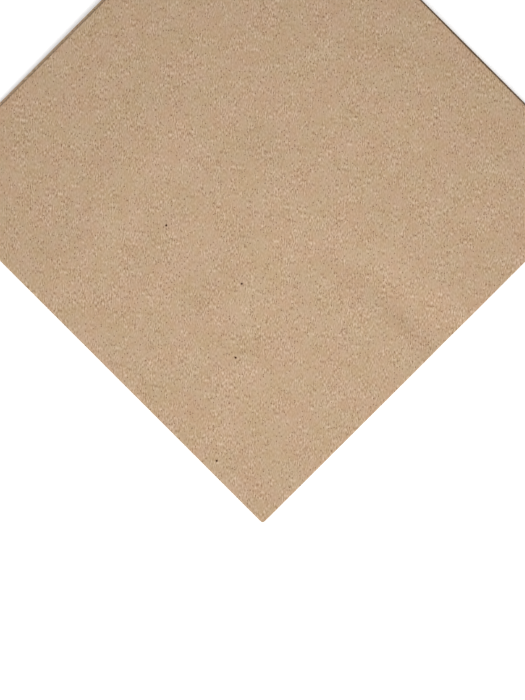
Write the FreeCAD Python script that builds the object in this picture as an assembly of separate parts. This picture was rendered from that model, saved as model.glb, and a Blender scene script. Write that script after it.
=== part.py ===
"""A paper napkin: one square sheet of soft embossed tissue, folded twice into a small square.

The sheet is folded in half along the first crease, which makes a pair of leaves, and the pair is folded
in half again across the second crease. Four leaves then lie on each other, joined by the two creases.
The lower pair lies flat, and the upper pair springs up from the second crease in a shallow bow. The soft
mark of an older fold runs into the upper pair from its first crease.

Frame: millimetres, +Z up, the origin at the middle of the underside. The first crease runs along Y on
the +X side, and the second crease runs along X on the -Y side. The -X and +Y sides are open.
"""

import FreeCAD
import Part
import math
import os

# The flat sheet
SHEET_SIDE = 254.0  # of the square, before it was folded
SHEET_THICKNESS = 0.25  # the bulk of the embossed tissue

# What stays open between the leaves
PAIR_GAP = 0.20  # between the two leaves of a pair
MIDDLE_GAP = 0.40  # between the lower and the upper pair, at the second crease
OPEN_RISE = 3.2  # how far the upper pair springs up on its way to the open side

# The cut edges, which never lie quite flush
LEAF_STEP = 0.9  # the outer leaves end this far short of the inner ones, on the -X side
PAIR_STEP = 1.1  # the upper pair ends this far short of the lower one, on the +Y side

# The mark of the older fold: a shallow valley, deepest a little inside the first crease
MARK_PLACE = 63.5  # from the second crease to the mark
MARK_LENGTH = 45.0  # from the first crease to where the mark fades out
MARK_DEEPEST = 8.0  # from the first crease to its deepest point
MARK_WIDTH = 2.4
MARK_DEPTH = 0.15
MARK_DRIFT = 2.6  # how far its faded end has strayed towards the second crease

# The pair of leaves and its two creases
PAIR_HEIGHT = 2 * SHEET_THICKNESS + PAIR_GAP
FIRST_RADIUS = PAIR_HEIGHT / 2  # outside the first crease
SECOND_RADIUS = PAIR_HEIGHT + MIDDLE_GAP / 2  # outside the second crease

# The paper that each crease takes up, along the middle of the sheet and the middle of the pair
FIRST_ARC = math.pi * (FIRST_RADIUS - SHEET_THICKNESS / 2)
SECOND_ARC = math.pi * (SECOND_RADIUS - PAIR_HEIGHT / 2)

# How far the longer leaf, the lower pair and the upper pair reach from their crease
LEAF_RUN = (SHEET_SIDE - FIRST_ARC + LEAF_STEP) / 2
LOWER_RUN = (SHEET_SIDE - SECOND_ARC + PAIR_STEP) / 2
UPPER_RUN = (SHEET_SIDE - SECOND_ARC - PAIR_STEP) / 2

# The folded square, with the origin at its middle
FOLDED_WIDTH = LEAF_RUN + FIRST_RADIUS
FOLDED_DEPTH = LOWER_RUN + SECOND_RADIUS
OPEN_SIDE_X = -FOLDED_WIDTH / 2
FIRST_CREASE_X = FOLDED_WIDTH / 2 - FIRST_RADIUS
SECOND_CREASE_Y = -FOLDED_DEPTH / 2 + SECOND_RADIUS
SECOND_CREASE = FreeCAD.Vector(0, SECOND_CREASE_Y, SECOND_RADIUS)

# A shallow bow rises by its length times half the angle that it turns through
BOW_ANGLE = 2 * OPEN_RISE / UPPER_RUN
BOW_RADIUS = UPPER_RUN / BOW_ANGLE
BOW_CENTRE = SECOND_CREASE + FreeCAD.Vector(0, math.sin(BOW_ANGLE), -math.cos(BOW_ANGLE)) * BOW_RADIUS

# Both turns of the upper pair are about this axis
TURN_AXIS = FreeCAD.Vector(-1, 0, 0)
CREASE_TURN = 180 - math.degrees(BOW_ANGLE)


def pair_section():
    """The section of a pair of leaves, as a face across Y at the second crease.

    The outer leaf lies on the floor and ends a step short. The first crease rounds up from it into the
    inner leaf, which lies above.
    """

    def point(x, z):
        return FreeCAD.Vector(x, SECOND_CREASE_Y, z)

    outer_end = OPEN_SIDE_X + LEAF_STEP
    inner_leaf = PAIR_HEIGHT - SHEET_THICKNESS
    inside_radius = PAIR_GAP / 2

    outside = Part.Arc(
        point(FIRST_CREASE_X, 0),
        point(FIRST_CREASE_X + FIRST_RADIUS, FIRST_RADIUS),
        point(FIRST_CREASE_X, PAIR_HEIGHT),
    )
    inside = Part.Arc(
        point(FIRST_CREASE_X, inner_leaf),
        point(FIRST_CREASE_X + inside_radius, FIRST_RADIUS),
        point(FIRST_CREASE_X, SHEET_THICKNESS),
    )
    outline = [
        Part.LineSegment(point(outer_end, 0), point(FIRST_CREASE_X, 0)),
        outside,
        Part.LineSegment(point(FIRST_CREASE_X, PAIR_HEIGHT), point(OPEN_SIDE_X, PAIR_HEIGHT)),
        Part.LineSegment(point(OPEN_SIDE_X, PAIR_HEIGHT), point(OPEN_SIDE_X, inner_leaf)),
        Part.LineSegment(point(OPEN_SIDE_X, inner_leaf), point(FIRST_CREASE_X, inner_leaf)),
        inside,
        Part.LineSegment(point(FIRST_CREASE_X, SHEET_THICKNESS), point(outer_end, SHEET_THICKNESS)),
        Part.LineSegment(point(outer_end, SHEET_THICKNESS), point(outer_end, 0)),
    ]
    return Part.Face(Part.Wire([edge.toShape() for edge in outline]))


def folded_over(shape, bow_turn):
    """A copy of a shape from the section's place, carried round the second crease and along the bow."""
    copy = shape.copy()
    copy.rotate(SECOND_CREASE, TURN_AXIS, CREASE_TURN)
    copy.rotate(BOW_CENTRE, TURN_AXIS, bow_turn)
    return copy


def mark_pyramid(surface):
    """The valley of the fold mark in one surface of a leaf: a flat pyramid that points into the paper.

    It stands in the section's place, where the surface lies at the height given. Its base is a kite just
    outside that surface, so that it passes through it, and its tip is the deepest point of the mark.
    """
    outside = MARK_DEPTH / 4
    spread = (MARK_DEPTH + outside) / MARK_DEPTH
    deepest_x = FIRST_CREASE_X - MARK_DEEPEST
    faded_x = deepest_x - (MARK_LENGTH - MARK_DEEPEST) * spread
    half_width = MARK_WIDTH / 2 * spread

    def base_point(x, across):
        return FreeCAD.Vector(x, SECOND_CREASE_Y + across, surface - outside)

    tip = FreeCAD.Vector(deepest_x, SECOND_CREASE_Y, surface + MARK_DEPTH)
    kite = [
        base_point(FIRST_CREASE_X, 0),
        base_point(deepest_x, half_width),
        base_point(faded_x, MARK_DRIFT),
        base_point(deepest_x, -half_width),
    ]
    faces = [Part.Face(Part.makePolygon([*kite, kite[0]]))]
    for corner, following in zip(kite, [*kite[1:], kite[0]]):
        faces.append(Part.Face(Part.makePolygon([corner, following, tip, corner])))
    pyramid = Part.Solid(Part.Shell(faces))
    if pyramid.Volume < 0:
        pyramid.reverse()
    return pyramid


def with_fold_mark(sheet):
    """The sheet with the mark pressed through both leaves of the upper pair.

    Each leaf has a valley in its upper surface and the same shape standing out of its under surface.
    """
    bow_turn = math.degrees((MARK_PLACE - SECOND_RADIUS) / BOW_RADIUS)
    inner_leaf = PAIR_HEIGHT - SHEET_THICKNESS
    for valley, ridge in ((0, SHEET_THICKNESS), (inner_leaf, PAIR_HEIGHT)):
        sheet = sheet.cut(folded_over(mark_pyramid(valley), bow_turn))
        sheet = sheet.fuse(folded_over(mark_pyramid(ridge), bow_turn))
    return sheet


def folded_sheet():
    """The whole sheet: the pair's section carried along the floor, round the second crease and back."""
    section = pair_section()
    lower_pair = section.extrude(FreeCAD.Vector(0, LOWER_RUN, 0))
    second_crease = section.revolve(SECOND_CREASE, TURN_AXIS, CREASE_TURN)
    upper_pair = folded_over(section, 0).revolve(BOW_CENTRE, TURN_AXIS, math.degrees(BOW_ANGLE))
    return lower_pair.fuse([second_crease, upper_pair]).removeSplitter()


def main():
    """Builds the napkin and writes it as one STEP file."""
    os.makedirs("parts", exist_ok=True)
    napkin = with_fold_mark(folded_sheet())
    napkin.exportStep("parts/napkin.step")
    print("napkin:", len(napkin.Solids), "solid, valid:", napkin.isValid())
    print("folded to", round(FOLDED_WIDTH, 2), "by", round(FOLDED_DEPTH, 2), "mm")
    print("paper", round(napkin.Volume / SHEET_THICKNESS), "mm2, flat", round(SHEET_SIDE**2), "mm2")


main()
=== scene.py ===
"""A paper napkin of unbleached tissue, folded twice into a small square and seen from straight above.

The napkin is one sheet. Its shape is a function of the two distances across the flat sheet: the paper is
carried round its two creases, and then it gets the softness of real tissue. Lengths are in metres, in
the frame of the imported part: +X points to the first crease, -Y to the second, and the -X and +Y sides
are open.
"""

import logging
import math
from dataclasses import dataclass
from enum import Enum
from typing import Sequence

import bpy
import numpy as np
from mathutils import Matrix, Vector


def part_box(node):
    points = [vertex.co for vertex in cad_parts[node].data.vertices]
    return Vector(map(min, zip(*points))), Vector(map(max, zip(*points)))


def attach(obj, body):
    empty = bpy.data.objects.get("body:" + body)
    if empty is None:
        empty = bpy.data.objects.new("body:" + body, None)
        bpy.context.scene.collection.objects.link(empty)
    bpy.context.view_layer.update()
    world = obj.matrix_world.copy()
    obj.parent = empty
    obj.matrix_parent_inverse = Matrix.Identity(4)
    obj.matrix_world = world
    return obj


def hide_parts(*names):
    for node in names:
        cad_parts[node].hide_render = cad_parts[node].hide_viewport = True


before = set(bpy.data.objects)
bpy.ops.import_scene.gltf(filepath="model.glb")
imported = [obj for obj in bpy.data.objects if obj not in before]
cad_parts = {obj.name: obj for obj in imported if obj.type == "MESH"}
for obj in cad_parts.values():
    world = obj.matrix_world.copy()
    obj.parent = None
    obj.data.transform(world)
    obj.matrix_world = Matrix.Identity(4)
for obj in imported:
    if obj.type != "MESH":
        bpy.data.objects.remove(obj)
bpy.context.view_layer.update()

LOG = logging.getLogger("paper_napkin")
NODE = "napkin"
SLOT = "unbleached_tissue"
PIECE = "folded_napkin"
UV_MAP = "flat_sheet"
MM = 0.001

Socket = bpy.types.NodeSocket
Colour = tuple[float, float, float, float]
WHITE: Colour = (1.0, 1.0, 1.0, 1.0)


def smooth_step(value: np.ndarray, start: float, end: float) -> np.ndarray:
    """Rises from 0 at start to 1 at end, level at both, as 3 x squared minus 2 x cubed.

    Args:
        value: where to work it out.
        start: where the rise begins.
        end: where the rise ends.

    Returns:
        The rise at each value, from 0 to 1.
    """
    x = np.clip((value - start) / (end - start), 0.0, 1.0)
    return x * x * (3.0 - 2.0 * x)


def grid_lines(stretches: Sequence[tuple[float, int]]) -> np.ndarray:
    """The places of grid lines along a run of stretches, evenly spaced within each.

    Args:
        stretches: the length of each stretch and the number of cells in it.

    Returns:
        The distances of all lines from the start, both ends included.
    """
    lines = [np.zeros(1)]
    for length, cells in stretches:
        lines.append(lines[-1][-1] + length * np.arange(1, cells + 1) / cells)
    return np.concatenate(lines)


@dataclass(frozen=True)
class FoldSizes:
    """The sizes of the folded sheet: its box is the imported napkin's, and the rest are its paper's own.

    width, depth and height are of the box. leaf_step is how far the outer leaves end short of the inner
    ones, and pair_step how far the upper pair ends short of the lower one.
    """

    width: float
    depth: float
    height: float
    thickness: float = 0.25 * MM
    pair_gap: float = 0.20 * MM
    middle_gap: float = 0.40 * MM
    leaf_step: float = 0.9 * MM
    pair_step: float = 1.1 * MM

    @classmethod
    def of_node(cls, node: str) -> "FoldSizes":
        """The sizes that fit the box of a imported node.

        Args:
            node: the node's name.

        Returns:
            The sizes of the sheet folded into that box.
        """
        low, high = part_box(node)
        return cls(high[0] - low[0], high[1] - low[1], high[2] - low[2])

    @property
    def pair_height(self) -> float:
        """Over the two leaves of a pair."""
        return 2 * self.thickness + self.pair_gap

    @property
    def first_radius(self) -> float:
        """Outside the first crease."""
        return self.pair_height / 2

    @property
    def second_radius(self) -> float:
        """Outside the second crease."""
        return self.pair_height + self.middle_gap / 2

    @property
    def first_bend(self) -> float:
        """Radius of the middle of the paper in the first crease."""
        return self.first_radius - self.thickness / 2

    @property
    def second_bend(self) -> float:
        """Radius of the middle of the pair in the second crease."""
        return self.second_radius - self.pair_height / 2

    @property
    def inner_run(self) -> float:
        """From the first crease to the end of an inner leaf."""
        return self.width - self.first_radius

    @property
    def outer_run(self) -> float:
        """From the first crease to the end of an outer leaf."""
        return self.inner_run - self.leaf_step

    @property
    def lower_run(self) -> float:
        """From the second crease to the end of the lower pair."""
        return self.depth - self.second_radius

    @property
    def upper_run(self) -> float:
        """From the second crease to the end of the upper pair."""
        return self.lower_run - self.pair_step

    @property
    def rise(self) -> float:
        """How far the upper pair springs up on its way to the open side."""
        return self.height - 2 * self.second_radius

    @property
    def bow_angle(self) -> float:
        """What the upper pair turns through: a shallow bow rises by its length times half this angle."""
        return 2 * self.rise / self.upper_run

    @property
    def flat_side(self) -> tuple[float, float]:
        """The sides of the flat sheet, along the middle of the paper.

        Returns:
            The side across the first crease, and the side across the second.
        """
        across_first = self.outer_run + math.pi * self.first_bend + self.inner_run
        across_second = self.lower_run + math.pi * self.second_bend + self.upper_run
        return across_first, across_second


@dataclass(frozen=True)
class SoftRidge:
    """A low swell in the upper pair: a bell-shaped ridge along a line through several places.

    Places are in millimetres from the closed corner: along the first crease, then along the second.
    """

    places: tuple[tuple[float, float], ...]
    width: float
    height: float

    def lift(self, along: np.ndarray, across: np.ndarray) -> np.ndarray:
        """Height of the ridge, as its height times a bell curve of the distance from its line.

        Args:
            along: distances from the second crease, in millimetres.
            across: distances from the first crease, in millimetres.

        Returns:
            The lift at each place, in millimetres.
        """
        distance = np.full(along.shape, np.inf)
        for start, end in zip(self.places, self.places[1:]):
            line = np.array(end) - np.array(start)
            from_start = np.stack([along - start[0], across - start[1]], axis=-1)
            share = np.clip(from_start @ line / (line @ line), 0.0, 1.0)
            distance = np.minimum(distance, np.linalg.norm(from_start - share[..., None] * line, axis=-1))
        return self.height * np.exp(-((distance / self.width) ** 2))


@dataclass(frozen=True)
class FoldMark:
    """The soft mark of an older fold, which runs into the upper pair from its first crease.

    Lengths are in millimetres. place is from the second crease, length and deepest are from the first.
    width is of the short step down, and recovery of the long way back up. drift is how far the faded end
    has strayed towards the second crease.
    """

    place: float = 63.5
    length: float = 47.0
    deepest: float = 8.0
    width: float = 6.4
    depth: float = 0.68
    recovery: float = 11.0
    drift: float = 2.6

    def sink(self, along: np.ndarray, across: np.ndarray) -> np.ndarray:
        """Depth of the valley: a short step down, a long gentle recovery, and a fade along the mark.

        Args:
            along: distances from the second crease, in millimetres.
            across: distances from the first crease, in millimetres.

        Returns:
            How far the paper is pressed down at each place, in millimetres.
        """
        strayed = self.drift * smooth_step(across, self.deepest, self.length)
        past = along - self.place + strayed
        step = smooth_step(past, -self.width / 2, self.width / 2)
        back = smooth_step(past, self.width / 2, self.width / 2 + self.recovery)
        fade = 1.0 - smooth_step(across, self.deepest, self.length)
        return self.depth * fade * (step - back)


@dataclass(frozen=True)
class Wave:
    """A sine wave along a free edge.

    length is of one radian of it, in millimetres, and start is its phase. strength is its share of the
    ripples' height.
    """

    length: float
    start: float
    strength: float

    def shown(self, distance: np.ndarray) -> np.ndarray:
        """The wave, as strength times the sine of the distance over length plus start."""
        return self.strength * np.sin(distance / self.length + self.start)


@dataclass(frozen=True)
class OpenSides:
    """The looseness of the two open sides, where the leaves of a pair part and their free edges ripple.

    Lengths are in millimetres, and width and depth are of the folded napkin. The leaves begin to part at
    part_along from the second crease and at part_across from the first. part_least is the share of the
    parting that is left at the second crease. The ripples reach ripple_reach in from a free edge.
    waves_along run along the edge across from the first crease, and waves_across along the other.
    """

    width: float
    depth: float
    part_along: float = 10.0
    part_across: float = 30.0
    part_height: float = 0.45
    part_least: float = 0.35
    ripple_reach: float = 16.0
    ripple_height: float = 0.10
    waves_along: tuple[Wave, ...] = (Wave(4.7, 0.8, 1.0), Wave(2.9, 2.1, 0.6))
    waves_across: tuple[Wave, ...] = (Wave(5.3, 1.9, 1.0), Wave(3.1, 0.4, 0.6))

    def opened(self, along: np.ndarray) -> np.ndarray:
        """How freely the leaves move, from 0 near the second crease to 1 at the side across from it."""
        return smooth_step(along, self.part_along, self.depth)

    def parted(self, along: np.ndarray, across: np.ndarray) -> np.ndarray:
        """How far the leaves of a pair stand apart: most at the corner between the two open sides.

        Args:
            along: distances from the second crease, in millimetres.
            across: distances from the first crease, in millimetres.

        Returns:
            The distance between the leaves beyond their plain gap, in millimetres.
        """
        share = self.part_least + (1.0 - self.part_least) * self.opened(along)
        return self.part_height * share * smooth_step(across, self.part_across, self.width)

    def ripples(self, along: np.ndarray, across: np.ndarray) -> np.ndarray:
        """The ripples of the free edges: along each of them two sine waves, the shorter one weaker.

        Args:
            along: distances from the second crease, in millimetres.
            across: distances from the first crease, in millimetres.

        Returns:
            The lift at each place, in millimetres.
        """
        near_x = smooth_step(across, self.width - self.ripple_reach, self.width)
        near_y = smooth_step(along, self.depth - self.ripple_reach, self.depth)
        waves_x = sum(wave.shown(along) for wave in self.waves_along)
        waves_y = sum(wave.shown(across) for wave in self.waves_across)
        return self.ripple_height * (near_x * waves_x * self.opened(along) + near_y * waves_y)


# The low swells of the upper pair
SWELLS = (
    SoftRidge(((0.0, 84.0), (18.0, 85.0), (38.0, 91.0), (56.0, 95.0)), 7.0, 0.42),
    SoftRidge(((24.0, 36.0), (29.0, 46.0), (46.0, 50.0), (60.0, 57.0), (66.0, 66.0)), 8.0, 0.62),
    SoftRidge(((22.0, 65.0), (40.0, 69.0), (54.0, 72.0)), 5.5, 0.17),
    SoftRidge(((2.0, 32.0), (14.0, 31.0)), 8.0, 0.32),
    SoftRidge(((80.0, 0.0), (80.0, 20.0), (77.0, 34.0)), 8.0, 0.25),
    SoftRidge(((96.0, 24.0), (110.0, 26.0)), 6.0, 0.22),
    SoftRidge(((104.0, 52.0), (112.0, 58.0)), 7.0, 0.30),
)

# The strong dark flecks in the upper face, in millimetres from the second crease and from the first
FLECKS = ((3.2, 20.3), (26.0, 36.0), (40.9, 48.6), (37.7, 73.5))


class PaperFace(Enum):
    """A face of the paper, as its place through the thickness from the middle."""

    OUTER = 0.5
    INNER = -0.5


@dataclass
class FoldedSheet:
    """The napkin's sheet: sizes, softness and the mesh that they make.

    The cells are of the grid: fine_cells on each side of the fold mark, mark_cells over mark_reach to
    each side of it, crease_cells round a crease and coarse_cells on a leaf that lies out of sight. The
    closed corner is drawn in by blunt, over about blunt_reach. Edges sharper than sharp_deg stay sharp.

    The second crease holds the swells down, out to held_reach. A leaf takes over from the next one over
    turn_reach to each side of a crease's middle. low_parting is the share of the parting that the lower
    pair takes, and top_ripple how much more the top leaf ripples.
    """

    sizes: FoldSizes
    mark: FoldMark = FoldMark()
    swells: tuple[SoftRidge, ...] = SWELLS
    fine_cells: int = 62
    mark_cells: int = 36
    mark_reach: float = 6 * MM
    crease_cells: int = 14
    coarse_cells: int = 42
    blunt: float = 0.10 * MM
    blunt_reach: float = 0.7 * MM
    sharp_deg: float = 50.0
    held_reach: float = 9 * MM
    turn_reach: float = 1 * MM
    low_parting: float = 0.45
    top_ripple: float = 0.4

    def lines_across_first(self) -> np.ndarray:
        """Grid lines from the outer leaves' cut edge, round the first crease, to the inner leaves' end.

        Returns:
            Their distances across the flat sheet.
        """
        size = self.sizes
        return grid_lines(
            [
                (size.outer_run, 2 * self.fine_cells + self.mark_cells),
                (math.pi * size.first_bend, self.crease_cells),
                (size.inner_run, self.coarse_cells),
            ]
        )

    def lines_across_second(self) -> np.ndarray:
        """Grid lines from the lower pair's cut edge, round the second crease, to the upper pair's end.

        They are closest along the fold mark.

        Returns:
            Their distances across the flat sheet.
        """
        size = self.sizes
        before_mark = self.mark.place * MM - size.second_radius - self.mark_reach
        after_mark = size.upper_run - before_mark - 2 * self.mark_reach
        return grid_lines(
            [
                (size.lower_run, self.coarse_cells),
                (math.pi * size.second_bend, self.crease_cells),
                (before_mark, self.fine_cells),
                (2 * self.mark_reach, self.mark_cells),
                (after_mark, self.fine_cells),
            ]
        )

    def on_flat_sheet(self, place: tuple[float, float]) -> tuple[float, float]:
        """Where a place of the upper face lies on the flat sheet.

        Args:
            place: its distances from the second crease and from the first, in millimetres.

        Returns:
            Its distances from the flat sheet's two starting edges, in millimetres.
        """
        size = self.sizes
        s = size.outer_run + size.first_radius - place[1] * MM
        t = size.lower_run + math.pi * size.second_bend - size.second_radius + place[0] * MM
        return s / MM, t / MM

    def section(self, s: np.ndarray, offset: float) -> tuple[np.ndarray, np.ndarray]:
        """One pair of leaves seen from the end, with the first crease as a half circle between them.

        Args:
            s: distances across the flat sheet from the outer leaves' cut edge.
            offset: how far from the middle of the paper, towards its outside.

        Returns:
            The place along X, and the height over the pair's outside.
        """
        size = self.sizes
        centre = size.width / 2 - size.first_radius
        turn = np.clip((s - size.outer_run) / size.first_bend, 0.0, math.pi)
        before = np.minimum(s - size.outer_run, 0.0)
        after = np.maximum(s - size.outer_run - math.pi * size.first_bend, 0.0)
        radius = size.first_bend + offset
        x = centre + before - after + radius * np.sin(turn)
        return x, size.first_radius - radius * np.cos(turn)

    def carried(self, height: np.ndarray, t: np.ndarray) -> tuple[np.ndarray, np.ndarray]:
        """Carries the section along the floor, round the second crease and along the bow.

        The pair runs towards -Y, turns about the crease, and turns on about the bow's far centre, until
        it has turned half round.

        Args:
            height: heights over the pair's outside.
            t: distances across the flat sheet from the lower pair's cut edge.

        Returns:
            The places along Y and Z.
        """
        size = self.sizes
        crease_y = size.second_radius - size.depth / 2
        crease_turn = math.pi - size.bow_angle
        crease_end = size.lower_run + crease_turn * size.second_bend
        flat_end = size.lower_run + math.pi * size.second_bend + size.upper_run
        bow_radius = size.upper_run / size.bow_angle

        to_crease = np.maximum(size.lower_run - t, 0.0)
        round_crease = np.clip((t - size.lower_run) / size.second_bend, 0.0, crease_turn)
        along_bow = np.maximum(t - crease_end, 0.0) / (flat_end - crease_end) * size.bow_angle
        turn = round_crease + along_bow
        radius = size.second_radius - height
        y = crease_y + to_crease - radius * np.sin(turn)
        z = size.second_radius - radius * np.cos(turn)
        y += bow_radius * (math.sin(crease_turn) - np.sin(crease_turn + along_bow))
        z += bow_radius * (math.cos(crease_turn) - np.cos(crease_turn + along_bow))
        return y, z

    def softness(self, s: np.ndarray, t: np.ndarray, x: np.ndarray, y: np.ndarray) -> np.ndarray:
        """How far the soft paper lifts from its plain folds.

        The lowest leaf stays flat on the table. Both leaves of the upper pair share its swells and its
        fold mark, which fade out towards the second crease, where the pair is held. The leaves of a pair
        part a little towards their open side, and their free edges ripple.

        Args:
            s: distances across the flat sheet from the outer leaves' cut edge.
            t: distances across the flat sheet from the lower pair's cut edge.
            x: the places along X on the plain folds.
            y: the places along Y on the plain folds.

        Returns:
            The lift at each place.
        """
        size = self.sizes
        along = (y + size.depth / 2) / MM
        across = (size.width / 2 - x) / MM
        upper = smooth_step(t - size.lower_run - math.pi * size.second_bend, 0.0, self.held_reach)
        second_middle = size.lower_run + math.pi * size.second_bend / 2
        is_upper = smooth_step(t, second_middle - self.turn_reach, second_middle + self.turn_reach)
        first_middle = size.outer_run + math.pi * size.first_bend / 2
        is_inner = smooth_step(s, first_middle - self.turn_reach, first_middle + self.turn_reach)

        swell = sum(ridge.lift(along, across) for ridge in self.swells)
        lift = upper * (swell - self.mark.sink(along, across))

        sides = OpenSides(size.width / MM, size.depth / MM)
        on_top = is_upper * (1.0 - is_inner)
        over_lowest = is_inner * (1.0 - is_upper)
        lift += (on_top + self.low_parting * over_lowest) * sides.parted(along, across)
        lift += (is_upper + self.top_ripple * on_top) * sides.ripples(along, across)
        return lift * MM

    def surface(self, s: np.ndarray, t: np.ndarray, face: PaperFace) -> np.ndarray:
        """Points of one face of the paper.

        The closed corner is worn blunt: it is drawn in by a bell curve of the distance from its tip.

        Args:
            s: distances across the flat sheet from the outer leaves' cut edge, as a grid.
            t: distances across the flat sheet from the lower pair's cut edge, as a grid.
            face: the outer or the inner face.

        Returns:
            An array of the grid's shape with three coordinates at each place.
        """
        middle_x, middle_height = self.section(s, 0.0)
        middle_y, _ = self.carried(middle_height, t)
        x, height = self.section(s, face.value * self.sizes.thickness)
        y, z = self.carried(height, t)
        from_tip = np.hypot(self.sizes.width / 2 - middle_x, self.sizes.depth / 2 + middle_y)
        drawn = self.blunt * np.exp(-((from_tip / self.blunt_reach) ** 2))
        lift = self.softness(s, t, middle_x, middle_y)
        return np.stack([x - drawn, y + drawn, z + lift], axis=-1)

    def build(self) -> bpy.types.Object:
        """Makes the closed mesh: the paper's outer and inner faces, joined along its four cut edges.

        Returns:
            The napkin's object, with a UV map that is the flat sheet.
        """
        s_lines = self.lines_across_first()
        t_lines = self.lines_across_second()
        s, t = np.meshgrid(s_lines, t_lines, indexing="ij")
        points = np.concatenate([self.surface(s, t, face).reshape(-1, 3) for face in PaperFace])
        number = np.arange(s.size).reshape(s.shape)
        outer = np.stack(
            [number[:-1, :-1], number[1:, :-1], number[1:, 1:], number[:-1, 1:]], axis=-1
        ).reshape(-1, 4)
        inner = outer[:, ::-1] + s.size
        rim = np.concatenate([number[:, 0], number[-1, 1:], number[-2::-1, -1], number[0, -2:0:-1]])
        following = np.roll(rim, -1)
        edge = np.stack([following, rim, rim + s.size, following + s.size], axis=-1)
        faces = np.concatenate([outer, inner, edge])

        mesh = bpy.data.meshes.new(PIECE)
        mesh.from_pydata(points, [], faces.tolist())
        uv = np.stack([s / s_lines[-1], t / t_lines[-1]], axis=-1).reshape(-1, 2)
        corners = np.concatenate([uv, uv])[faces.ravel()]
        mesh.uv_layers.new(name=UV_MAP).data.foreach_set("uv", corners.ravel())
        mesh.shade_smooth()
        mesh.set_sharp_from_angle(angle=math.radians(self.sharp_deg))
        mesh.update()
        napkin = bpy.data.objects.new(PIECE, mesh)
        bpy.context.collection.objects.link(napkin)
        return napkin


class NodeDesk:
    """Lays out shader nodes by short calls, so that a finish reads like its formula.

    The sockets of a Mix node share their names, so its two colours and its result go by their places.
    """

    first_colour = 6
    second_colour = 7
    mixed_colour = 2

    def __init__(self, owner: bpy.types.Material | bpy.types.World) -> None:
        """Clears the node tree of a material or a world.

        Args:
            owner: what the nodes belong to.
        """
        owner.use_nodes = True
        self.tree = owner.node_tree
        self.tree.nodes.clear()

    def add(self, kind: str, **settings: object) -> bpy.types.Node:
        """Adds a node and sets its options.

        Args:
            kind: the node's type, without the word ShaderNode.
            settings: the node's own options, by name.

        Returns:
            The new node.
        """
        node = self.tree.nodes.new("ShaderNode" + kind)
        for name, value in settings.items():
            setattr(node, name, value)
        return node

    def feed(self, socket: Socket, value: object) -> None:
        """Links a socket to an output, or sets its own value.

        Args:
            socket: the input.
            value: an output socket, a number or a tuple.
        """
        if isinstance(value, bpy.types.NodeSocket):
            self.tree.links.new(value, socket)
        else:
            socket.default_value = value

    def maths(self, operation: str, *values: object) -> Socket:
        """One step of arithmetic.

        Args:
            operation: its name, such as ADD.
            values: numbers or sockets.

        Returns:
            The result.
        """
        node = self.add("Math", operation=operation)
        for socket, value in zip(node.inputs, values):
            self.feed(socket, value)
        return node.outputs[0]

    def times(self, vector: Socket, factors: object) -> Socket:
        """Multiplies each part of a vector or a colour.

        Args:
            vector: the vector or colour.
            factors: a tuple or a socket, with one factor for each part.

        Returns:
            The product.
        """
        node = self.add("VectorMath", operation="MULTIPLY")
        self.feed(node.inputs[0], vector)
        self.feed(node.inputs[1], factors)
        return node.outputs[0]

    def turned(self, vector: Socket, angle: float, moved: tuple[float, float, float]) -> Socket:
        """Turns a vector about Z and then moves it.

        Args:
            vector: the vector.
            angle: in radians.
            moved: how far, along each axis.

        Returns:
            The vector's new place.
        """
        node = self.add("Mapping")
        self.feed(node.inputs["Vector"], vector)
        self.feed(node.inputs["Rotation"], (0.0, 0.0, angle))
        self.feed(node.inputs["Location"], moved)
        return node.outputs[0]

    def noise(self, vector: Socket, scale: float) -> Socket:
        """Soft noise of one size, with a mean of nought and a spread of about a half to each side.

        Args:
            vector: where it is read.
            scale: its cells per unit.

        Returns:
            The noise.
        """
        node = self.add("TexNoise", noise_dimensions="2D")
        self.feed(node.inputs["Vector"], vector)
        self.feed(node.inputs["Scale"], scale)
        self.feed(node.inputs["Detail"], 0.0)
        return self.maths("SUBTRACT", node.outputs["Fac"], 0.5)

    def rise(
        self, value: object, start: float, end: float, low: float = 0.0, high: float = 1.0
    ) -> Socket:
        """A smooth rise from low to high, while the value goes from start to end.

        Args:
            value: a number or a socket.
            start: the value where the rise begins.
            end: the value where it ends.
            low: what it rises from.
            high: what it rises to.

        Returns:
            The rise at that value.
        """
        node = self.add("MapRange", interpolation_type="SMOOTHSTEP")
        names = ("Value", "From Min", "From Max", "To Min", "To Max")
        for name, number in zip(names, (value, start, end, low, high)):
            self.feed(node.inputs[name], number)
        return node.outputs[0]

    def total(self, *values: object) -> Socket:
        """Adds up several values.

        Args:
            values: numbers or sockets.

        Returns:
            Their sum.
        """
        result = values[0]
        for value in values[1:]:
            result = self.maths("ADD", result, value)
        return result

    def blend(self, share: object, first: object, second: object) -> Socket:
        """A colour between two colours.

        Args:
            share: 0 for the first colour, 1 for the second.
            first: a colour or a socket.
            second: a colour or a socket.

        Returns:
            The mixed colour.
        """
        node = self.add("Mix", data_type="RGBA")
        self.feed(node.inputs[0], share)
        self.feed(node.inputs[self.first_colour], first)
        self.feed(node.inputs[self.second_colour], second)
        return node.outputs[self.mixed_colour]

    def seen(self) -> Socket:
        """Tells what is seen from what only lights other things.

        Returns:
            1 for what is seen directly, in a reflection or through something clear, else 0.
        """
        paths = self.add("LightPath")
        direct = self.maths("MAXIMUM", paths.outputs["Is Camera Ray"], paths.outputs["Is Glossy Ray"])
        return self.maths("MAXIMUM", direct, paths.outputs["Is Transmission Ray"])

    def either(self, share: object, first: Socket, second: Socket) -> Socket:
        """A mix of two shaders.

        Args:
            share: 0 for the first shader, 1 for the second.
            first: a shader.
            second: a shader.

        Returns:
            The mixed shader.
        """
        node = self.add("MixShader")
        for socket, value in zip(node.inputs, (share, first, second)):
            self.feed(socket, value)
        return node.outputs[0]


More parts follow.
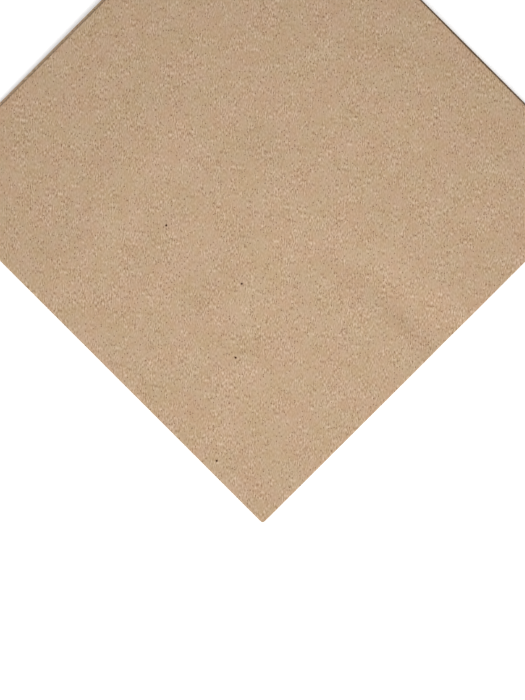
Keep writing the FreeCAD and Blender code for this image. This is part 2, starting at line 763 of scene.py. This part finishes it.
def linear(red: int, green: int, blue: int) -> Colour:
    """A colour given as it shows on a screen, from 0 to 255, as the light that a shader wants.

    Args:
        red: the red part.
        green: the green part.
        blue: the blue part.

    Returns:
        The linear colour, with full opacity.
    """
    shown = np.array([red, green, blue]) / 255.0
    light = np.where(shown <= 0.04045, shown / 12.92, ((shown + 0.055) / 1.055) ** 2.4)
    return (*light.tolist(), 1.0)


@dataclass(frozen=True)
class Pattern:
    """The size and place of a pattern in the paper.

    cells is its cells per millimetre, and streak how much longer along Y than wide they are, before the
    pattern is turned and moved.
    """

    cells: float
    streak: float = 1.0
    turn: float = 0.0
    moved: tuple[float, float, float] = (0.0, 0.0, 0.0)

    def place(self, desk: NodeDesk, flat: Socket) -> Socket:
        """The pattern's own place for a place on the sheet.

        Args:
            desk: where its nodes go.
            flat: the place on the sheet, in millimetres.

        Returns:
            The place in the pattern, where its cells are as long as wide.
        """
        drawn = desk.times(flat, (1.0, 1.0 / self.streak, 1.0)) if self.streak != 1.0 else flat
        return desk.turned(drawn, self.turn, self.moved)


@dataclass(frozen=True)
class PulpLayer:
    """One layer of the pulp's unevenness: soft noise and its strength."""

    pattern: Pattern
    strength: float

    def shown(self, desk: NodeDesk, flat: Socket) -> Socket:
        """The layer's noise, with a mean of nought.

        Args:
            desk: where its nodes go.
            flat: the place on the sheet, in millimetres.

        Returns:
            The noise at that place, times the strength.
        """
        noise = desk.noise(self.pattern.place(desk, flat), self.pattern.cells)
        return desk.maths("MULTIPLY", noise, self.strength)


@dataclass(frozen=True)
class Patches:
    """Soft patches of two kinds, which the sum of several layers parts.

    The paper is all of the first kind where the sum is -reach and all of the second where it is reach.
    """

    layers: tuple[PulpLayer, ...]
    reach: float

    def shown(self, desk: NodeDesk, flat: Socket, low: float = 0.0, high: float = 1.0) -> Socket:
        """Which kind of patch shows.

        Args:
            desk: where the nodes go.
            flat: the place on the sheet, in millimetres.
            low: the value in patches of the first kind.
            high: the value in patches of the second kind.

        Returns:
            The value at that place, between low and high.
        """
        depth = desk.total(*[layer.shown(desk, flat) for layer in self.layers])
        return desk.rise(depth, -self.reach, self.reach, low, high)


@dataclass(frozen=True)
class Grains:
    """Scattered grains: a soft dot in the middle of some of the cells of a loose mosaic.

    share is how many of the cells hold a grain, and reach is the dot's radius in cells. strength is how
    far the strongest of them changes the paper's colour. core is the share of the radius within which a
    dot is full, and looseness is how uneven the mosaic is.
    """

    pattern: Pattern
    share: float
    reach: float
    strength: float
    core: float = 0.2
    looseness: float = 0.85

    def shown(self, desk: NodeDesk, flat: Socket) -> Socket:
        """How strongly the grains show.

        Args:
            desk: where their nodes go.
            flat: the place on the sheet, in millimetres.

        Returns:
            The strength at that place, 0 between the grains.
        """
        cells = desk.add("TexVoronoi", voronoi_dimensions="2D")
        desk.feed(cells.inputs["Vector"], self.pattern.place(desk, flat))
        desk.feed(cells.inputs["Scale"], self.pattern.cells)
        desk.feed(cells.inputs["Randomness"], self.looseness)
        chance = desk.add("SeparateColor")
        desk.feed(chance.inputs[0], cells.outputs["Color"])
        dot = desk.rise(cells.outputs["Distance"], self.reach, self.reach * self.core)
        chosen = desk.rise(chance.outputs["Red"], 1.0 - self.share, 1.0, 0.0, self.strength)
        return desk.maths("MULTIPLY", dot, chosen)


@dataclass(frozen=True)
class TissueFinish:
    """Unbleached tissue: warm brown pulp with pale grains, dark pits and rare flecks, finely embossed.

    The lattice repeats at pitch, in millimetres. Its waves wander by up to half of wander, in radians,
    with wander_cells per millimetre, and lattice_tone is how far they change the tone. The pulp's
    streaks are turned by streak_turn_deg from the sheet's sides.

    layers are of the pulp's uneven tone, which shows with the strength patch_low in smooth patches and
    with patch_high in rough ones. blotches are its olive and its rosy parts, and stains the parts where
    its colour is multiplied by greyer and by browner. A fleck is full within fleck_core and fades out at
    fleck_radius, both in millimetres. relief is how high the bump stands for a height of 1, and the
    lattice, the pulp, the grains and the pits have their own heights.
    """

    rosy: Colour = linear(192, 161, 133)
    olive: Colour = linear(189, 163, 131)
    shade: Colour = linear(125, 89, 55)
    light: Colour = linear(235, 211, 185)
    pit: Colour = linear(108, 71, 37)
    fleck: Colour = linear(58, 25, 2)
    browner: Colour = (0.992, 0.975, 0.940, 1.0)
    greyer: Colour = (1.008, 1.025, 1.060, 1.0)
    pitch: float = 1.13
    wander: float = 5.0
    wander_cells: float = 0.07
    lattice_tone: float = 0.06
    streak_turn_deg: float = -45.0
    patch_low: float = 0.42
    patch_high: float = 1.28
    layers: tuple[PulpLayer, ...] = (
        PulpLayer(Pattern(3.4, 2.9, 0.05, (13.0, 71.0, 0.0)), 1.08),
        PulpLayer(Pattern(2.7), 0.15),
        PulpLayer(Pattern(0.90, 1.8, 0.3, (31.0, 7.0, 0.0)), 0.12),
        PulpLayer(Pattern(0.40, 1.5, 0.9, (5.0, 57.0, 0.0)), 0.10),
        PulpLayer(Pattern(0.25, 1.5, 0.2, (46.0, 17.0, 0.0)), 0.06),
        PulpLayer(Pattern(0.12, 1.0, 0.5, (9.0, 2.0, 0.0)), 0.05),
    )
    patches: Patches = Patches(
        (
            PulpLayer(Pattern(0.45), 0.8),
            PulpLayer(Pattern(0.13, 1.0, 0.4, (21.0, 33.0, 0.0)), 0.5),
        ),
        reach=0.2,
    )
    blotches: Patches = Patches(
        (
            PulpLayer(Pattern(0.35, 1.0, 0.7, (19.0, 3.0, 0.0)), 0.5),
            PulpLayer(Pattern(0.12, 1.0, 0.2, (8.0, 41.0, 0.0)), 0.7),
        ),
        reach=0.28,
    )
    stains: Patches = Patches(
        (
            PulpLayer(Pattern(0.42, 1.0, 0.9, (27.0, 14.0, 0.0)), 0.6),
            PulpLayer(Pattern(0.14, 1.0, 1.2, (3.0, 52.0, 0.0)), 0.6),
        ),
        reach=0.22,
    )
    pits: Grains = Grains(Pattern(1.45, 1.6), 0.38, 0.25, 1.0)
    grains: Grains = Grains(Pattern(1.8, 1.3, 0.2, (40.0, 11.0, 0.0)), 0.35, 0.26, 0.30)
    specks: Grains = Grains(Pattern(0.075, 1.0, 0.5, (2.0, 9.0, 0.0)), 0.5, 0.028, 0.5)
    fleck_radius: float = 0.42
    fleck_core: float = 0.14
    relief: float = 0.035 * MM
    lattice_height: float = 0.4
    pulp_height: float = 0.25
    grain_height: float = 1.5
    pit_height: float = -0.4
    roughness: float = 0.95
    specular: float = 0.15

    def material(self, side: float, flecks: Sequence[tuple[float, float]]) -> bpy.types.Material:
        """Builds the tissue's material.

        Args:
            side: of the flat sheet, which its UV map covers from 0 to 1.
            flecks: the places of the strong dark flecks on the flat sheet, in millimetres.

        Returns:
            The finished material.
        """
        material = bpy.data.materials.new(SLOT)
        desk = NodeDesk(material)
        uv = desk.add("UVMap", uv_map=UV_MAP).outputs[0]
        flat = desk.times(uv, (side / MM, side / MM, 0.0))
        streaked = desk.turned(flat, math.radians(self.streak_turn_deg), (0.0, 0.0, 0.0))

        lattice = self.lattice(desk, flat)
        patch = self.patches.shown(desk, streaked, self.patch_low, self.patch_high)
        layers = desk.total(*[layer.shown(desk, streaked) for layer in self.layers])
        pulp = desk.maths("MULTIPLY", patch, layers)
        tone = desk.total(pulp, desk.maths("MULTIPLY", lattice, self.lattice_tone))
        pits = self.pits.shown(desk, streaked)
        grains = self.grains.shown(desk, streaked)

        plain = desk.blend(self.blotches.shown(desk, flat), self.olive, self.rosy)
        stain = desk.blend(self.stains.shown(desk, flat), self.greyer, self.browner)
        tinted = desk.times(plain, stain)
        tinted = desk.blend(desk.maths("MULTIPLY", tone, -1.0), tinted, self.shade)
        tinted = desk.blend(tone, tinted, self.light)
        tinted = desk.blend(pits, tinted, self.pit)
        tinted = desk.blend(grains, tinted, self.light)
        tinted = desk.blend(self.specks.shown(desk, streaked), tinted, self.fleck)
        colour = desk.blend(self.flecked(desk, flat, flecks), tinted, self.fleck)

        height = desk.total(
            desk.maths("MULTIPLY", lattice, self.lattice_height),
            desk.maths("MULTIPLY", pulp, self.pulp_height),
            desk.maths("MULTIPLY", grains, self.grain_height),
            desk.maths("MULTIPLY", pits, self.pit_height),
        )
        bump = desk.add("Bump")
        desk.feed(bump.inputs["Height"], height)
        desk.feed(bump.inputs["Distance"], self.relief)
        desk.feed(bump.inputs["Strength"], 1.0)

        shader = desk.add("BsdfPrincipled")
        desk.feed(shader.inputs["Base Color"], colour)
        desk.feed(shader.inputs["Normal"], bump.outputs[0])
        desk.feed(shader.inputs["Roughness"], self.roughness)
        desk.feed(shader.inputs["Specular IOR Level"], self.specular)
        desk.feed(desk.add("OutputMaterial").inputs["Surface"], shader.outputs[0])
        return material

    def flecked(self, desk: NodeDesk, flat: Socket, flecks: Sequence[tuple[float, float]]) -> Socket:
        """The strong dark flecks, each a small soft dot.

        Args:
            desk: where its nodes go.
            flat: the place on the flat sheet, in millimetres.
            flecks: their places on the flat sheet, in millimetres.

        Returns:
            How strongly a fleck shows, from 0 to 1.
        """
        dots = []
        for place in flecks:
            distance = desk.add("VectorMath", operation="DISTANCE")
            desk.feed(distance.inputs[0], flat)
            desk.feed(distance.inputs[1], (*place, 0.0))
            dots.append(desk.rise(distance.outputs["Value"], self.fleck_radius, self.fleck_core))
        return desk.total(*dots)

    def lattice(self, desk: NodeDesk, flat: Socket) -> Socket:
        """The embossed lattice: a wave along each side of the sheet, and one along their diagonal.

        Args:
            desk: where its nodes go.
            flat: the place on the flat sheet, in millimetres.

        Returns:
            The lattice's height, from -0.5 to 1.
        """
        wander = desk.maths("MULTIPLY", desk.noise(flat, self.wander_cells), self.wander)
        parts = desk.add("SeparateXYZ")
        desk.feed(parts.inputs[0], flat)
        turns = 2 * math.pi / self.pitch
        first = desk.maths("MULTIPLY_ADD", parts.outputs["X"], turns, wander)
        second = desk.maths("MULTIPLY_ADD", parts.outputs["Y"], turns, wander)
        diagonal = desk.maths("ADD", first, second)
        waves = [desk.maths("COSINE", angle) for angle in (first, second, diagonal)]
        return desk.maths("MULTIPLY", desk.total(*waves), 1 / 3)


@dataclass(frozen=True)
class Studio:
    """A white table, a near lamp above, a far one at the side of the closed corner, and the camera.

    view_width and view_height are of the picture, in pixels, and scale is its pixels per millimetre at
    the napkin's upper face. tip and bright are where the closed corner and the brightest place lie in it.
    The camera sees from nearest to farthest.

    The table lights the napkin as a surface that gives back table_white of the light. near_glow is how
    much it is seen to glow by itself round the napkin, where it keeps the shadow, out to near_reach.
    Beyond far_reach it glows white.

    sky is the strength of the even light from all round. Both lamps point at the brightest place, and
    their power is in watts. The far one hangs side_height_deg over the level there, and side_turn_deg
    from +X towards +Y.
    """

    view_width: int = 525
    view_height: int = 700
    scale: float = 3.79
    tip: tuple[float, float] = (262.6, 523.7)
    bright: tuple[float, float] = (300.0, 350.0)
    lens: float = 120.0
    sensor: float = 36.0
    nearest: float = 0.01
    farthest: float = 100.0
    table_side: float = 8.0
    table_white: float = 0.8
    near_glow: float = 0.46
    near_reach: float = 0.20
    far_reach: float = 1.0
    sky: float = 0.30
    side_power: float = 34.8
    side_size: float = 1.0
    side_distance: float = 2.5
    side_height_deg: float = 25.0
    side_turn_deg: float = -42.0
    top_power: float = 0.342
    top_size: float = 0.10
    top_distance: float = 0.253

    def floor(self) -> bpy.types.Object:
        """The table, which shows white to the camera but keeps the napkin's soft shadow.

        What is seen of it is a plain white surface in the same light, with a glow of its own on top.

        Returns:
            The table's object.
        """
        half = self.table_side / 2
        mesh = bpy.data.meshes.new("table")
        corners = [(-half, -half, 0.0), (half, -half, 0.0), (half, half, 0.0), (-half, half, 0.0)]
        mesh.from_pydata(corners, [], [(0, 1, 2, 3)])
        material = bpy.data.materials.new("white_table")
        desk = NodeDesk(material)
        plain = desk.add("BsdfDiffuse")
        white = self.table_white
        desk.feed(plain.inputs["Color"], (white, white, white, 1.0))
        shadowed = desk.add("BsdfDiffuse")
        desk.feed(shadowed.inputs["Color"], WHITE)
        distance = desk.add("VectorMath", operation="LENGTH")
        desk.feed(distance.inputs[0], desk.add("TexCoord").outputs["Object"])
        strength = desk.rise(
            distance.outputs["Value"], self.near_reach, self.far_reach, self.near_glow, 1.0
        )
        glow = desk.add("Emission")
        desk.feed(glow.inputs["Strength"], strength)
        shown = desk.add("AddShader")
        desk.feed(shown.inputs[0], shadowed.outputs[0])
        desk.feed(shown.inputs[1], glow.outputs[0])
        surface = desk.either(desk.seen(), plain.outputs[0], shown.outputs[0])
        desk.feed(desk.add("OutputMaterial").inputs["Surface"], surface)
        mesh.materials.append(material)
        table = bpy.data.objects.new("table", mesh)
        bpy.context.collection.objects.link(table)
        return table

    def world(self) -> None:
        """Even light from all round, behind a plain white background."""
        world = bpy.data.worlds.new("studio")
        bpy.context.scene.world = world
        desk = NodeDesk(world)
        light = desk.add("Background")
        desk.feed(light.inputs["Color"], WHITE)
        desk.feed(light.inputs["Strength"], self.sky)
        white = desk.add("Background")
        desk.feed(white.inputs["Color"], WHITE)
        desk.feed(white.inputs["Strength"], 1.0)
        surface = desk.either(desk.seen(), light.outputs[0], white.outputs[0])
        desk.feed(desk.add("OutputWorld").inputs["Surface"], surface)

    def lamp(self, name: str, place: Vector, aim: Vector, size: float, power: float) -> bpy.types.Object:
        """A round soft lamp, which lights the napkin but isn't seen itself.

        Args:
            name: the lamp's name.
            place: where it hangs.
            aim: the place that it points at.
            size: its diameter.
            power: its light, in watts.

        Returns:
            The lamp.
        """
        data = bpy.data.lights.new(name, "AREA")
        data.shape = "DISK"
        data.size = size
        data.energy = power
        lamp = bpy.data.objects.new(name, data)
        bpy.context.collection.objects.link(lamp)
        turn = (place - aim).to_track_quat("Z", "Y").to_matrix().to_4x4()
        lamp.matrix_world = Matrix.Translation(place) @ turn
        lamp.visible_camera = False
        return lamp

    def lamps(self, tip: Vector) -> None:
        """A near lamp above the brightest place, and a far one on the side of the closed corner.

        The near one makes the light fall off towards the picture's corners. The far one brings out the
        relief.

        Args:
            tip: the napkin's closed corner, at the height of its upper face.
        """
        bright = self.place_at(self.bright, tip)
        above = bright + Vector((0.0, 0.0, self.top_distance))
        self.lamp("top_lamp", above, bright, self.top_size, self.top_power)
        turn = math.radians(self.side_turn_deg)
        height = math.radians(self.side_height_deg)
        level = Vector((math.cos(turn), math.sin(turn), 0.0)) * math.cos(height)
        aside = bright + (level + Vector((0.0, 0.0, math.sin(height)))) * self.side_distance
        self.lamp("side_lamp", aside, bright, self.side_size, self.side_power)

    def right_and_up(self) -> tuple[Vector, Vector]:
        """The picture's two directions: the closed corner, at +X and -Y, points down in it."""
        return Vector((1.0, 1.0, 0.0)).normalized(), Vector((-1.0, 1.0, 0.0)).normalized()

    def place_at(self, pixel: tuple[float, float], tip: Vector) -> Vector:
        """The place that shows at a pixel.

        Args:
            pixel: from the picture's left and from its top.
            tip: the napkin's closed corner, at the height of its upper face.

        Returns:
            The place, at the same height.
        """
        right, up = self.right_and_up()
        across = (pixel[0] - self.tip[0]) * MM / self.scale
        down = (pixel[1] - self.tip[1]) * MM / self.scale
        return tip + right * across - up * down

    def camera(self, tip: Vector) -> bpy.types.Object:
        """The camera, straight above the picture's middle.

        Args:
            tip: the napkin's closed corner, at the height of its upper face.

        Returns:
            The camera.
        """
        right, up = self.right_and_up()
        middle = self.place_at((self.view_width / 2, self.view_height / 2), tip)
        distance = self.lens / self.sensor * self.view_height * MM / self.scale
        data = bpy.data.cameras.new("camera")
        data.lens = self.lens
        data.sensor_width = self.sensor
        data.clip_start = self.nearest
        data.clip_end = self.farthest
        camera = bpy.data.objects.new("camera", data)
        bpy.context.collection.objects.link(camera)
        axes = Matrix((right, up, Vector((0.0, 0.0, 1.0)))).transposed().to_4x4()
        camera.matrix_world = Matrix.Translation(middle + Vector((0.0, 0.0, distance))) @ axes
        bpy.context.scene.camera = camera
        return camera


def main() -> None:
    """Builds the napkin, its table, its light and the camera, in that order."""
    logging.basicConfig(level=logging.INFO, format="%(name)s: %(message)s")
    sizes = FoldSizes.of_node(NODE)
    sheet = FoldedSheet(sizes)
    napkin = sheet.build()
    flat = sizes.flat_side
    flecks = [sheet.on_flat_sheet(place) for place in FLECKS]
    napkin.data.materials.append(TissueFinish().material(flat[0], flecks))
    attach(napkin, "root")
    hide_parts(NODE)
    studio = Studio()
    table = studio.floor()
    LOG.info("folded napkin: %d faces", len(napkin.data.polygons))
    LOG.info("flat sheet: %.1f by %.1f mm", flat[0] / MM, flat[1] / MM)

    studio.world()
    tip = Vector((sizes.width / 2, -sizes.depth / 2, 2 * sizes.second_radius))
    studio.lamps(tip)
    studio.camera(tip)
    bpy.context.scene.view_settings.view_transform = "Standard"
    LOG.info("table, light and camera are in place")


if __name__ == "__main__":
    main()
